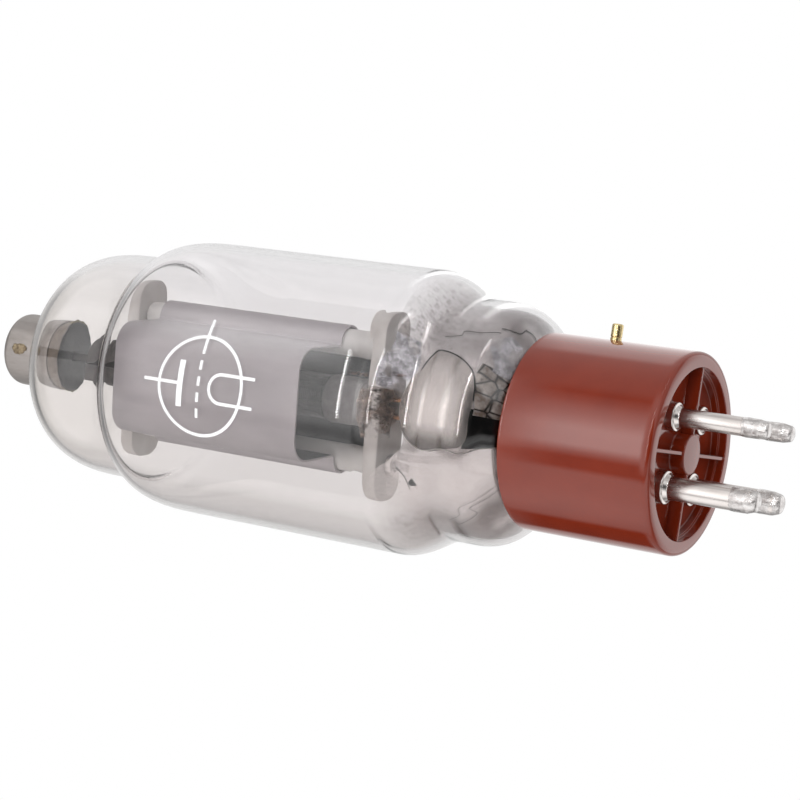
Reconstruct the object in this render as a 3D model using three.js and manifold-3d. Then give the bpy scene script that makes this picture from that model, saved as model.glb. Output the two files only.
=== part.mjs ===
// Directly heated power triode: stepped glass bulb, top cap, bayonet base with four pins.
// Millimetres. +Z runs from the base to the top cap, +X points at the bayonet pin, and the
// origin is the centre of the base's seating face.
import * as THREE from 'three';
import { mergeVertices } from 'three/addons/utils/BufferGeometryUtils.js';
import Module from 'manifold-3d';

const wasm = await Module();
wasm.setup();

// ---------------------------------------------------------------- driving dimensions
const GAP = 0.3;                  // clearance kept between neighbouring pieces
const ROUND = 32;                 // facets round the large turned pieces
const SMALL_ROUND = 16;           // facets round pins, posts and collars
const WIRE_ROUND = 8;             // facets round wires

const BULB_R = 26.0;              // main bulb
const NECK_R = 21.8;              // waist above the base
const DOME_R = 21.8;              // narrower dome under the top cap
const GLASS_WALL = 1.1;
const TAIL_R = 14.0;              // glass tail cemented into the base
const TAIL_Z = 10.3;
const NECK_Z = [37.4, 40.8];      // straight stretch of the waist
const BULB_Z = [51.8, 98.3];      // straight stretch of the main bulb
const DOME_Z = [111.5, 118.5];    // straight stretch of the dome
const APEX_Z = 134.9;
const LEAD_HOLE_R = 1.1;          // seal of the anode lead in the apex

const CAP_R = 7.19;               // medium top cap, 14.38 mm across
const CAP_Z = [136.8, 147.2];
const CAP_ROUNDING = 1.5;
const CAP_WALL = 0.4;
const CAP_SOLDER_Z = 142.7;

const BASE_R = 17.45;             // medium four-pin base
const BASE_H = 28.0;
const BASE_WALL = 1.4;
const RIM_ROUNDING = 1.2;
const RECESS_R = 14.8;            // mouth of the recess in the underside
const LEDGE = { radius: 14.2, z: 1.4 };
const FLOOR_Z = [2.6, 5.0];
const BOSS_R = 3.5;
const RIB = { thickness: 0.7, z: 0.25 };
const BAYONET = { radius: 1.0, z: 17.1, reach: 20.3, root: 15.4 };

const PIN_X = 5.94;               // half the pin rectangle, thin pair on the bayonet side
const PIN_Y = 5.55;
const PIN_TIP_Z = -15.2;          // end of the solder
const PIN_BODY_Z = -14.0;
const PIN_BORE_R = 0.95;
const THICK_PIN_R = 1.98;         // heater pins, 3.96 mm
const THIN_PIN_R = 1.59;          // 3.18 mm
const COLLAR = { proud: 0.9, z: [1.1, 2.9] };

const ELECTRODE_TURN = THREE.MathUtils.degToRad(-8.5); // the mount stands turned from the bayonet
const PLATE = { halfLength: 17.5, halfWidth: 4.5, corner: 3.5, thickness: 3.2 };
const LOWER_PLATE_Z = 59.2;       // lower faces of the two ceramic bars
const UPPER_PLATE_Z = 115.0;
const POST_X = 10.7;              // insulating posts in the anode's side channels
const POST_R = 2.5;
const POST_BORE_R = 1.15;
const SIDE_ROD_R = 0.8;
const ANODE = { halfWidth: 10.4, halfDepth: 16.5, corner: 4.5, sheet: 0.4, z: [69.0, 110.8] };
const GRID_R = 4.2;
const GRID_SLEEVE = 0.15;         // wall of the sleeve that stands for the wound grid
const GRID_COLLAR = { outer: 4.5, inner: 4.05, lower: [62.7, 71.6], upper: [107.9, 114.7] };
const GRID_ROD = { radius: 0.3, circle: 3.65, z: [63.2, 113.8] };
const FILAMENT = { thickness: 0.3, width: 0.6, legX: 1.6, planeY: 0.9, z: [64.0, 106.1] };
const SPRING = { coil: 1.2, wire: 0.18, turns: 5, z: [109.6, 111.8] };
const TERMINAL = { radius: 4.7, z: [119.15, 127.2], wall: 0.7 };
const PRESS = { halfLength: 9.5, halfWidth: 2.4, z: [33.0, 44.0] };
const STEM_TUBE_R = 7.4;

// ---------------------------------------------------------------- materials
const paint = (color, roughness, metalness, extra = {}) =>
  new THREE.MeshStandardMaterial({ color, roughness, metalness, ...extra });
const CLEAR_GLASS = paint(0xe6e0de, 0.05, 0.0, { transparent: true, opacity: 0.3 });
const BAKELITE = paint(0x93342a, 0.22, 0.0);
const NICKEL = paint(0xb9b4ae, 0.25, 1.0);
const CAP_METAL = paint(0xa39b99, 0.45, 0.9);
const BRASS = paint(0xc9a24e, 0.3, 1.0);
const SOLDER = paint(0xc4c0bb, 0.35, 0.9);
const DARK_CEMENT = paint(0x4a4a4c, 0.95, 0.0);
const PALE_CEMENT = paint(0xb9ab98, 0.95, 0.0);
const ANODE_SHEET = paint(0xa49ca1, 0.6, 0.5);
const DARK_METAL = paint(0x5d5557, 0.55, 0.7);
const CERAMIC = paint(0xe9e2dc, 0.5, 0.0);
const WARM_LEAD = paint(0x7a5342, 0.4, 0.9);
const MOLYBDENUM = paint(0x8d8a8a, 0.35, 1.0);

// ---------------------------------------------------------------- solid helpers
function signedVolume(geometry) {
  const p = geometry.attributes.position;
  const index = geometry.index.array;
  const [a, b, c] = [new THREE.Vector3(), new THREE.Vector3(), new THREE.Vector3()];
  let volume = 0;
  for (let i = 0; i < index.length; i += 3) {
    a.fromBufferAttribute(p, index[i]);
    b.fromBufferAttribute(p, index[i + 1]);
    c.fromBufferAttribute(p, index[i + 2]);
    volume += a.dot(b.cross(c)) / 6;
  }
  return volume;
}

// Position-only copy with shared vertices, no empty triangles and its faces pointing out.
function solid(geometry) {
  const bare = geometry.clone();
  for (const name of ['normal', 'uv']) bare.deleteAttribute(name);
  const merged = mergeVertices(bare, 1e-5);
  const kept = [];
  const index = merged.index.array;
  for (let i = 0; i < index.length; i += 3) {
    const [a, b, c] = [index[i], index[i + 1], index[i + 2]];
    if (a !== b && b !== c && a !== c) kept.push(a, b, c);
  }
  merged.setIndex(kept);
  if (signedVolume(merged) < 0) {
    const turned = [];
    for (let i = 0; i < kept.length; i += 3) turned.push(kept[i], kept[i + 2], kept[i + 1]);
    merged.setIndex(turned);
  }
  return merged;
}

function toManifold(geometry) {
  const mesh = solid(geometry);
  return new wasm.Manifold(new wasm.Mesh({
    numProp: 3,
    vertProperties: new Float32Array(mesh.attributes.position.array),
    triVerts: new Uint32Array(mesh.index.array),
  }));
}

function fromManifold(manifold) {
  const mesh = manifold.getMesh();
  const geometry = new THREE.BufferGeometry();
  geometry.setAttribute('position', new THREE.BufferAttribute(mesh.vertProperties.slice(), 3));
  geometry.setIndex(Array.from(mesh.triVerts));
  return geometry;
}

function join(first, ...others) {
  let result = toManifold(first);
  for (const other of others) result = result.add(toManifold(other));
  return fromManifold(result);
}

function cut(first, ...others) {
  let result = toManifold(first);
  for (const other of others) result = result.subtract(toManifold(other));
  return fromManifold(result);
}

// Turned solid about +Z from [radius, z] points that start and end on the axis or close up.
function turned(points, segments) {
  const profile = points.map(([r, z]) => new THREE.Vector2(r, z));
  return solid(new THREE.LatheGeometry(profile, segments).rotateX(Math.PI / 2));
}

function ring(inner, outer, low, high, segments) {
  return turned([[inner, low], [outer, low], [outer, high], [inner, high], [inner, low]], segments);
}

function rod(radius, low, high, segments) {
  return turned([[0, low], [radius, low], [radius, high], [0, high]], segments);
}

const moved = (geometry, x, y, z = 0) => geometry.clone().translate(x, y, z);

// Outline in X and Y raised from one height to another.
function raised(shape, low, high, curveSegments = 6) {
  const options = { depth: high - low, bevelEnabled: false, curveSegments };
  return solid(new THREE.ExtrudeGeometry(shape, options).translate(0, 0, low));
}

// Flat bar outline with rounded corners, centred on the origin.
function barShape(halfLength, halfWidth, corner) {
  const shape = new THREE.Shape();
  const [x, y] = [halfLength - corner, halfWidth - corner];
  shape.absarc(x, y, corner, 0, Math.PI / 2);
  shape.absarc(-x, y, corner, Math.PI / 2, Math.PI);
  shape.absarc(-x, -y, corner, Math.PI, 1.5 * Math.PI);
  shape.absarc(x, -y, corner, 1.5 * Math.PI, 2 * Math.PI);
  return shape;
}

// Both sides of an open centre line, as the outline of a strip of even thickness.
function stripShape(line, thickness) {
  const side = (sign) => line.map((p, i) => {
    const ahead = line[Math.min(i + 1, line.length - 1)];
    const behind = line[Math.max(i - 1, 0)];
    const along = ahead.clone().sub(behind).normalize();
    return new THREE.Vector2(-along.y, along.x).multiplyScalar(sign * thickness / 2).add(p);
  });
  return new THREE.Shape([...side(1), ...side(-1).reverse()]);
}

// Round wire along a curve through the given points.
function wire(points, radius, steps) {
  const path = new THREE.CatmullRomCurve3(points.map((p) => new THREE.Vector3(...p)));
  return sweep(path, radius, steps);
}

function sweep(path, radius, steps) {
  const section = new THREE.Shape();
  for (let i = 0; i < WIRE_ROUND; i += 1) {
    const angle = (i * 2 * Math.PI) / WIRE_ROUND;
    section[i ? 'lineTo' : 'moveTo'](radius * Math.cos(angle), radius * Math.sin(angle));
  }
  return solid(new THREE.ExtrudeGeometry(section, { steps, bevelEnabled: false, extrudePath: path }));
}

// ---------------------------------------------------------------- glass
// Outer outline of the blown bulb: tail, flare, waist, shoulder, bulb, step and dome.
function bulbOutline() {
  const path = new THREE.Path();
  path.moveTo(TAIL_R, TAIL_Z);
  path.lineTo(TAIL_R, 22.9);
  path.bezierCurveTo(TAIL_R, 26.4, 16.2, 27.6, 17.6, 29.1);
  path.bezierCurveTo(19.6, 31.2, NECK_R, 32.4, NECK_R, NECK_Z[0]);
  path.lineTo(NECK_R, NECK_Z[1]);
  path.bezierCurveTo(NECK_R, NECK_Z[1] + 3.9, BULB_R, BULB_Z[0] - 4.1, BULB_R, BULB_Z[0]);
  path.lineTo(BULB_R, BULB_Z[1]);
  path.bezierCurveTo(BULB_R, BULB_Z[1] + 14, DOME_R, DOME_Z[0] - 3.6, DOME_R, DOME_Z[0]);
  path.lineTo(DOME_R, DOME_Z[1]);
  path.bezierCurveTo(DOME_R, DOME_Z[1] + 12.4, 16, APEX_Z, LEAD_HOLE_R, APEX_Z);
  return path.getPoints(4);
}

function inset(outline, depth) {
  return outline.map((p, i) => {
    const ahead = outline[Math.min(i + 1, outline.length - 1)];
    const behind = outline[Math.max(i - 1, 0)];
    const along = ahead.clone().sub(behind).normalize();
    return new THREE.Vector2(p.x - along.y * depth, p.y + along.x * depth);
  });
}

function glassEnvelope() {
  const outer = bulbOutline();
  const inner = inset(outer, GLASS_WALL);
  inner[inner.length - 1].x = LEAD_HOLE_R;
  const loop = [...outer, ...inner.reverse(), outer[0]];
  return turned(loop.map((p) => [p.x, p.y]), ROUND);
}

// Flared tube with the flat press that the lead wires are sealed in.
function glassStem() {
  const rimZ = TAIL_Z - GAP;
  const wall = GLASS_WALL;
  const bore = STEM_TUBE_R - wall;
  const flare = turned([
    [0, 32.0], [bore, 30.6], [bore, 15.4], [8.4, 11.2], [12.2, rimZ - wall],
    [TAIL_R, rimZ - wall], [TAIL_R, rimZ], [12.9, rimZ], [9.4, 12.2],
    [STEM_TUBE_R, 16.2], [STEM_TUBE_R, 33.4], [5.6, 36.0], [0, 36.8],
  ], ROUND);
  const { halfLength, halfWidth, z } = PRESS;
  return join(flare, raised(barShape(halfLength, halfWidth, halfWidth - 0.01), z[0], z[1]));
}

function exhaustTube() {
  const [low, high, outer, bore] = [7.0, 31.2, 2.1, 1.2];
  return turned([
    [0, low], [0.9, low + 0.5], [outer, low + 2.4], [outer, high], [bore, high],
    [bore, low + 3.4], [0, low + 2.2],
  ], SMALL_ROUND);
}

// ---------------------------------------------------------------- top cap
function topCap() {
  const inner = CAP_R - CAP_WALL;
  const [low, high] = CAP_Z;
  const path = new THREE.Path();
  path.moveTo(0, high);
  path.lineTo(CAP_R - CAP_ROUNDING, high);
  path.absarc(CAP_R - CAP_ROUNDING, high - CAP_ROUNDING, CAP_ROUNDING, Math.PI / 2, 0, true);
  path.lineTo(CAP_R, low);
  path.lineTo(inner, low);
  path.lineTo(inner, high - CAP_ROUNDING);
  path.lineTo(inner - 1.1, high - CAP_WALL);
  path.lineTo(0, high - CAP_WALL);
  return turned(path.getPoints(3).map((p) => [p.x, p.y]), ROUND);
}

// Cement between the dome and the cap, spreading a little past the cap's edge.
function capCement() {
  const core = CAP_R - CAP_WALL - GAP;
  const hole = LEAD_HOLE_R + 0.05;
  const under = APEX_Z + GAP;
  return turned([
    [hole, under], [4.2, under], [7.7, under - 0.55], [7.9, under - 0.3], [7.5, CAP_Z[0] - GAP],
    [core, CAP_Z[0] - GAP], [core, 143], [hole, 143], [hole, under],
  ], ROUND);
}

// Solder over the hole in the cap's side, where the anode lead ends.
function capSolder() {
  const lump = turned([[0, 0], [1.5, 0], [1.2, 0.22], [0.6, 0.38], [0, 0.42]], 12);
  return lump.rotateX(Math.PI / 2).translate(0, -CAP_R - 0.05, CAP_SOLDER_Z);
}

// ---------------------------------------------------------------- base
const PINS = [
  { name: 'grid_pin', radius: THIN_PIN_R, x: PIN_X, y: PIN_Y },
  { name: 'spare_pin', radius: THIN_PIN_R, x: PIN_X, y: -PIN_Y },
  { name: 'filament_pin_1', radius: THICK_PIN_R, x: -PIN_X, y: PIN_Y },
  { name: 'filament_pin_2', radius: THICK_PIN_R, x: -PIN_X, y: -PIN_Y },
];

// Moulded shell: rounded rim, recessed underside with a boss and four ribs, open at the top.
function baseShell() {
  const inner = BASE_R - BASE_WALL;
  const path = new THREE.Path();
  path.moveTo(0, 0);
  path.lineTo(BOSS_R - 0.2, 0);
  path.lineTo(BOSS_R, 0.2);
  path.lineTo(BOSS_R, FLOOR_Z[0]);
  path.lineTo(LEDGE.radius, FLOOR_Z[0]);
  path.lineTo(LEDGE.radius, LEDGE.z);
  path.lineTo(RECESS_R, LEDGE.z);
  path.lineTo(RECESS_R, 0.15);
  path.lineTo(RECESS_R + 0.15, 0);
  path.lineTo(BASE_R - RIM_ROUNDING, 0);
  path.absarc(BASE_R - RIM_ROUNDING, RIM_ROUNDING, RIM_ROUNDING, 1.5 * Math.PI, 2 * Math.PI);
  path.lineTo(BASE_R, BASE_H - 0.3);
  path.lineTo(BASE_R - 0.2, BASE_H);
  path.lineTo(inner + 0.8, BASE_H);
  path.lineTo(inner, BASE_H - 1.4);
  path.lineTo(inner, FLOOR_Z[1]);
  path.lineTo(0, FLOOR_Z[1]);
  const shell = turned(path.getPoints(3).map((p) => [p.x, p.y]), ROUND);

  const ribLength = RECESS_R + 0.2;
  const ribHeight = FLOOR_Z[0] + 0.4 - RIB.z;
  const ribs = [[2 * ribLength, RIB.thickness], [RIB.thickness, 2 * ribLength]].map(([x, y]) =>
    new THREE.BoxGeometry(x, y, ribHeight).translate(0, 0, RIB.z + ribHeight / 2));

  const holes = PINS.flatMap(({ radius, x, y }) => [
    moved(rod(radius + GAP, 0.5, FLOOR_Z[1] + 1, SMALL_ROUND), x, y),
    moved(rod(radius + COLLAR.proud + GAP, 0.5, COLLAR.z[1] + GAP, SMALL_ROUND), x, y),
  ]);
  const wallHole = rod(BAYONET.radius + GAP, BASE_R - 3, BASE_R + 1, SMALL_ROUND)
    .rotateY(Math.PI / 2).translate(0, 0, BAYONET.z);
  return cut(join(shell, ...ribs), ...holes, wallHole);
}

function baseCement() {
  return ring(TAIL_R + GAP, BASE_R - BASE_WALL - GAP, BAYONET.z + BAYONET.radius + 0.6, 23.8, ROUND);
}

// Hollow pin with a round collar under the floor and a staked lip above it.
function contactPin(radius) {
  const collar = radius + COLLAR.proud;
  const [low, high] = COLLAR.z;
  const lip = FLOOR_Z[1] + GAP;
  return turned([
    [PIN_BORE_R, PIN_BODY_Z], [radius - 0.2, PIN_BODY_Z], [radius, PIN_BODY_Z + 0.25],
    [radius, low - 0.5], [radius + 0.25, low - 0.1], [collar - 0.3, low], [collar, low + 0.35],
    [collar, high - 0.4], [collar - 0.25, high], [radius, high], [radius, lip],
    [radius + 0.5, lip], [radius + 0.5, lip + 0.6], [PIN_BORE_R, lip + 0.6],
    [PIN_BORE_R, PIN_BODY_Z],
  ], SMALL_ROUND);
}

// Solder that closes the pin's end and runs up its bore.
function pinSolder(radius) {
  const cap = PIN_BODY_Z - GAP;
  const core = PIN_BORE_R - GAP;
  return turned([
    [0, PIN_TIP_Z], [radius * 0.45, PIN_TIP_Z], [radius * 0.8, PIN_TIP_Z + 0.25],
    [radius * 0.93, cap - 0.15], [radius * 0.85, cap], [core, cap], [core, -8.2], [0, -8.2],
  ], SMALL_ROUND);
}

function bayonetPin() {
  const { radius, z, reach, root } = BAYONET;
  const groove = BASE_R + 0.55;
  return turned([
    [0, root], [radius, root], [radius, groove], [radius - 0.15, groove + 0.1],
    [radius - 0.15, groove + 0.3], [radius, groove + 0.4], [radius, reach - 0.3],
    [radius - 0.3, reach], [0, reach],
  ], SMALL_ROUND).rotateY(Math.PI / 2).translate(0, 0, z);
}

// Wire from the stem to the inside of a pin.
function pinWire(start, pin) {
  return wire([
    [start[0], start[1], 30.2], [start[0], start[1], 20], [start[0] * 1.15, start[1] * 1.15, 13],
    [pin.x * 0.92, pin.y * 0.92, 9.2], [pin.x, pin.y, 6.4], [pin.x, pin.y, 1], [pin.x, pin.y, -7.8],
  ], 0.35, 16);
}

// ---------------------------------------------------------------- electrodes
// One half of the deep, round-cornered anode, with half of each post channel.
function anodeHalf(side) {
  const { halfWidth, halfDepth, corner, sheet, z } = ANODE;
  const seam = 0.15;
  const channel = POST_R + GAP + sheet / 2;
  const [x, y, bend] = [halfWidth - sheet / 2, halfDepth - sheet / 2, corner - sheet / 2];
  const path = new THREE.Path();
  path.absarc(POST_X, 0, channel, -Math.asin(seam / channel), -Math.PI / 2, true);
  path.lineTo(x, -channel - 0.45);
  path.lineTo(x, bend - y);
  path.absarc(x - bend, bend - y, bend, 0, -Math.PI / 2, true);
  path.lineTo(0, -y);
  const right = path.getPoints(6);
  const left = right.slice(0, -1).reverse().map((p) => new THREE.Vector2(-p.x, p.y));
  const half = raised(stripShape([...right, ...left], sheet), z[0], z[1]);
  return side < 0 ? half : half.rotateZ(Math.PI);
}

function ceramicBar(low, centreHole, blindDepth) {
  const { halfLength, halfWidth, corner, thickness } = PLATE;
  const high = low + thickness;
  const bar = raised(barShape(halfLength, halfWidth, corner), low, high);
  const top = blindDepth ? low + blindDepth : high + 1;
  const bores = [-POST_X, POST_X].map((x) =>
    moved(rod(POST_BORE_R, low - 1, high + 1, SMALL_ROUND), x, 0));
  const centre = rod(centreHole, low - 1, top, SMALL_ROUND);
  return { bar, bores, centre };
}

function lowerPlate() {
  const { bar, bores, centre } = ceramicBar(LOWER_PLATE_Z, 3.3, 0);
  const gridLeadHole = moved(rod(0.8, LOWER_PLATE_Z - 1, LOWER_PLATE_Z + 5, 12), GRID_LEAD_X, 0);
  return cut(bar, ...bores, centre, gridLeadHole);
}

function upperPlate() {
  const { bar, bores, centre } = ceramicBar(UPPER_PLATE_Z, 1.1, 1.9);
  return cut(bar, ...bores, centre);
}

// Strap from the terminal over the upper bar and down inside the anode wall.
function anodeStrap(side) {
  const thickness = 0.35;
  const top = UPPER_PLATE_Z + PLATE.thickness + GAP + thickness / 2;
  const out = ANODE.halfDepth - ANODE.sheet - GAP - thickness / 2;
  const bend = 1.2;
  const path = new THREE.Path();
  path.moveTo(1.0, top);
  path.lineTo(out - bend, top);
  path.absarc(out - bend, top - bend, bend, Math.PI / 2, 0, true);
  path.lineTo(out, 105);
  const strip = stripShape(path.getPoints(4), thickness);
  const width = 3;
  const bar = new THREE.ExtrudeGeometry(strip, { depth: width, bevelEnabled: false });
  bar.rotateX(Math.PI / 2).rotateZ(Math.PI / 2).translate(-width / 2, 0, 0);
  return solid(side < 0 ? bar.rotateZ(Math.PI) : bar);
}

// Cup on the upper bar that the straps and the cap lead meet at.
function anodeTerminal() {
  const { radius, z: [low, high], wall } = TERMINAL;
  return turned([
    [0, high], [radius - 0.5, high], [radius, high - 0.5], [radius, low],
    [radius - wall, low], [radius - wall, high - wall], [0, high - wall],
  ], SMALL_ROUND + 4);
}

const GRID_LEAD_X = 6.1;

function gridCollar([low, high], roundTop) {
  const { outer, inner } = GRID_COLLAR;
  const edge = 0.2;
  const [bottomEdge, topEdge] = roundTop ? [0, edge] : [edge, 0];
  return turned([
    [inner, low], [outer - bottomEdge, low], [outer, low + bottomEdge],
    [outer, high - topEdge], [outer - topEdge, high], [inner, high], [inner, low],
  ], SMALL_ROUND + 4);
}

// Inverted U of filament ribbon: two legs and the bend that hangs on the yoke.
function filamentHairpin(y) {
  const { thickness, width, legX, z: [low, high] } = FILAMENT;
  const path = new THREE.Path();
  path.moveTo(-legX, low);
  path.lineTo(-legX, high - legX);
  path.absarc(0, high - legX, legX, Math.PI, 0, true);
  path.lineTo(legX, low);
  const ribbon = stripShape(path.getPoints(6), thickness);
  const bar = new THREE.ExtrudeGeometry(ribbon, { depth: width, bevelEnabled: false });
  return solid(bar.rotateX(Math.PI / 2).translate(0, y + width / 2, 0));
}

// Hook that the hairpins hang on, pulled towards the cap by the tension spring.
function filamentYoke() {
  const barZ = FILAMENT.z[1] - FILAMENT.thickness - 0.6;
  const stemTop = SPRING.z[0] - 0.4;
  const bar = rod(0.3, -1.5, 1.5, 12).rotateX(Math.PI / 2).translate(0, 0, barZ);
  const stem = rod(0.4, barZ, stemTop, 12);
  const head = turned([[0, stemTop - 0.9], [0.9, stemTop - 0.6], [0.9, stemTop], [0, stemTop]], 12);
  return join(stem, bar, head);
}

class Helix extends THREE.Curve {
  constructor(radius, turns, low, high) {
    super();
    Object.assign(this, { radius, turns, low, high });
  }

  getPoint(t, target = new THREE.Vector3()) {
    const angle = t * this.turns * 2 * Math.PI;
    const z = this.low + t * (this.high - this.low);
    return target.set(this.radius * Math.cos(angle), this.radius * Math.sin(angle), z);
  }
}

function tensionSpring() {
  const { coil, wire: wireRadius, turns, z: [low, high] } = SPRING;
  return sweep(new Helix(coil, turns, low + wireRadius, high - wireRadius), wireRadius, turns * 10);
}

function springAnchor() {
  const foot = SPRING.z[1] + GAP;
  return turned([
    [0, foot], [1.4, foot], [1.4, foot + 0.6], [0.8, foot + 0.8],
    [0.8, UPPER_PLATE_Z + 1.6], [0, UPPER_PLATE_Z + 1.6],
  ], 14);
}

// Flat lead from the press, through the lower bar, to the feet of one side of the hairpins.
function filamentLead(side) {
  const line = [[3.3, PRESS.z[1] + GAP], [3.3, 50], [2.6, 53.5], [FILAMENT.legX, 56.5],
    [FILAMENT.legX, FILAMENT.z[0] - GAP]].map(([x, z]) => new THREE.Vector2(side * x, z));
  const width = 2.8;
  const bar = new THREE.ExtrudeGeometry(stripShape(line, 0.6), { depth: width, bevelEnabled: false });
  return solid(bar.rotateX(Math.PI / 2).translate(0, width / 2, 0));
}

function gridLead() {
  const beside = GRID_COLLAR.outer + GAP + 0.4;
  return wire([
    [GRID_LEAD_X, 0, PRESS.z[1] + GAP], [GRID_LEAD_X, 0, 52], [GRID_LEAD_X, 0, 59],
    [GRID_LEAD_X, 0, 62.6], [beside + 0.1, 0, 65.6], [beside, 0, 69],
  ], 0.4, 14);
}

// Support wire from the press to the foot of a side rod.
function supportWire(side) {
  const beside = POST_X - SIDE_ROD_R - 1.1;
  return wire([
    [side * 8.0, 0, PRESS.z[1] + GAP], [side * 8.0, 0, 47], [side * 8.6, 0, 51],
    [side * beside, 0, 54], [side * beside, 0, 57],
  ], 0.7, 10);
}

function getterRing() {
  const [major, half, height] = [3.9, 0.8, 1.1];
  return turned([
    [major - half, 0], [major + half, 0], [major + half, height], [major + half - 0.3, height],
    [major + half - 0.3, 0.35], [major - half + 0.3, 0.35], [major - half + 0.3, height],
    [major - half, height], [major - half, 0],
  ], SMALL_ROUND).translate(0, GETTER.y, GETTER.z);
}

const GETTER = { y: 9.8, z: 47.5 };

function getterStrap() {
  return wire([[-7.2, 1.1, 46.4], [-6.6, 3.2, 46.6], [-5.0, 6.2, 46.9], [-3.2, 8.2, 47.0]], 0.25, 8);
}

// ---------------------------------------------------------------- assembly
const tube = new THREE.Group();
const electrodes = new THREE.Group();
electrodes.rotation.z = ELECTRODE_TURN;
tube.add(electrodes);

function add(parent, name, geometry, material, x = 0, y = 0) {
  const mesh = new THREE.Mesh(geometry, material);
  mesh.name = name;
  mesh.position.set(x, y, 0);
  parent.add(mesh);
}

add(tube, 'glass_envelope', glassEnvelope(), CLEAR_GLASS);
add(electrodes, 'glass_stem', glassStem(), CLEAR_GLASS);
add(tube, 'exhaust_tube', exhaustTube(), CLEAR_GLASS);
add(tube, 'top_cap', topCap(), CAP_METAL);
add(tube, 'cap_solder', capSolder(), BRASS);
add(tube, 'cap_cement', capCement(), DARK_CEMENT);
add(tube, 'anode_lead', rod(0.75, TERMINAL.z[1] + GAP, 145.6, 12), DARK_METAL);

add(tube, 'base_shell', baseShell(), BAKELITE);
add(tube, 'base_cement', baseCement(), PALE_CEMENT);
add(tube, 'bayonet_pin', bayonetPin(), BRASS);
for (const { name, radius, x, y } of PINS) {
  add(tube, name, contactPin(radius), NICKEL, x, y);
  add(tube, `${name}_solder`, pinSolder(radius), SOLDER, x, y);
}
add(tube, 'grid_wire', pinWire([4.2, 1.6], PINS[0]), NICKEL);
add(tube, 'filament_wire_1', pinWire([-3.4, 2.4], PINS[2]), NICKEL);
add(tube, 'filament_wire_2', pinWire([-3.4, -2.4], PINS[3]), NICKEL);

add(electrodes, 'anode_front', anodeHalf(-1), ANODE_SHEET);
add(electrodes, 'anode_back', anodeHalf(1), ANODE_SHEET);
add(electrodes, 'anode_terminal', anodeTerminal(), DARK_METAL);
add(electrodes, 'anode_strap_front', anodeStrap(-1), DARK_METAL);
add(electrodes, 'anode_strap_back', anodeStrap(1), DARK_METAL);
add(electrodes, 'lower_ceramic_bar', lowerPlate(), CERAMIC);
add(electrodes, 'upper_ceramic_bar', upperPlate(), CERAMIC);

const postLow = LOWER_PLATE_Z + PLATE.thickness + GAP;
const postHigh = UPPER_PLATE_Z - GAP;
const lowerNut = [LOWER_PLATE_Z - GAP - 1.3, LOWER_PLATE_Z - GAP];
const upperNut = [UPPER_PLATE_Z + PLATE.thickness + GAP, UPPER_PLATE_Z + PLATE.thickness + GAP + 1.3];
for (const [number, side] of [[1, 1], [2, -1]]) {
  const x = side * POST_X;
  add(electrodes, `ceramic_post_${number}`, ring(POST_BORE_R, POST_R, postLow, postHigh, SMALL_ROUND),
    CERAMIC, x);
  add(electrodes, `side_rod_${number}`, rod(SIDE_ROD_R, 54.4, upperNut[1] + 0.7, 12), MOLYBDENUM, x);
  add(electrodes, `lower_eyelet_${number}`, ring(POST_BORE_R, 2.0, ...lowerNut, 16), NICKEL, x);
  add(electrodes, `upper_eyelet_${number}`, ring(POST_BORE_R, 2.0, ...upperNut, 16), NICKEL, x);
  add(electrodes, `support_wire_${number}`, supportWire(side), MOLYBDENUM);
  add(electrodes, `filament_lead_${number}`, filamentLead(side), WARM_LEAD);
  add(electrodes, `filament_hairpin_${number}`, filamentHairpin(side * FILAMENT.planeY), MOLYBDENUM);
}
add(electrodes, 'filament_yoke', filamentYoke(), MOLYBDENUM);
add(electrodes, 'tension_spring', tensionSpring(), MOLYBDENUM);
add(electrodes, 'spring_anchor', springAnchor(), NICKEL);

add(electrodes, 'grid_winding', ring(GRID_R - GRID_SLEEVE, GRID_R, GRID_COLLAR.lower[1] + GAP,
  GRID_COLLAR.upper[0] - GAP, SMALL_ROUND + 4), MOLYBDENUM);
add(electrodes, 'lower_grid_collar', gridCollar(GRID_COLLAR.lower, true), NICKEL);
add(electrodes, 'upper_grid_collar', gridCollar(GRID_COLLAR.upper, false), NICKEL);
add(electrodes, 'grid_lead', gridLead(), WARM_LEAD);
for (let i = 0; i < 4; i += 1) {
  const angle = (i + 0.5) * Math.PI / 2;
  const { radius, circle, z } = GRID_ROD;
  add(electrodes, `grid_rod_${i + 1}`, rod(radius, ...z, 10), MOLYBDENUM,
    circle * Math.cos(angle), circle * Math.sin(angle));
}
add(electrodes, 'getter_ring', getterRing(), NICKEL);
add(electrodes, 'getter_strap', getterStrap(), NICKEL);

export default tube;
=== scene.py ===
"""Power triode with a stepped glass bulb, a top cap and a bayonet base.

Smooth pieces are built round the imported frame, in millimetres scaled to metres. +Z runs from the
base to the cap and +X points at the bayonet pin.
"""
import math

import bmesh
import bpy
from mathutils import Matrix, Vector, noise


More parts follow.
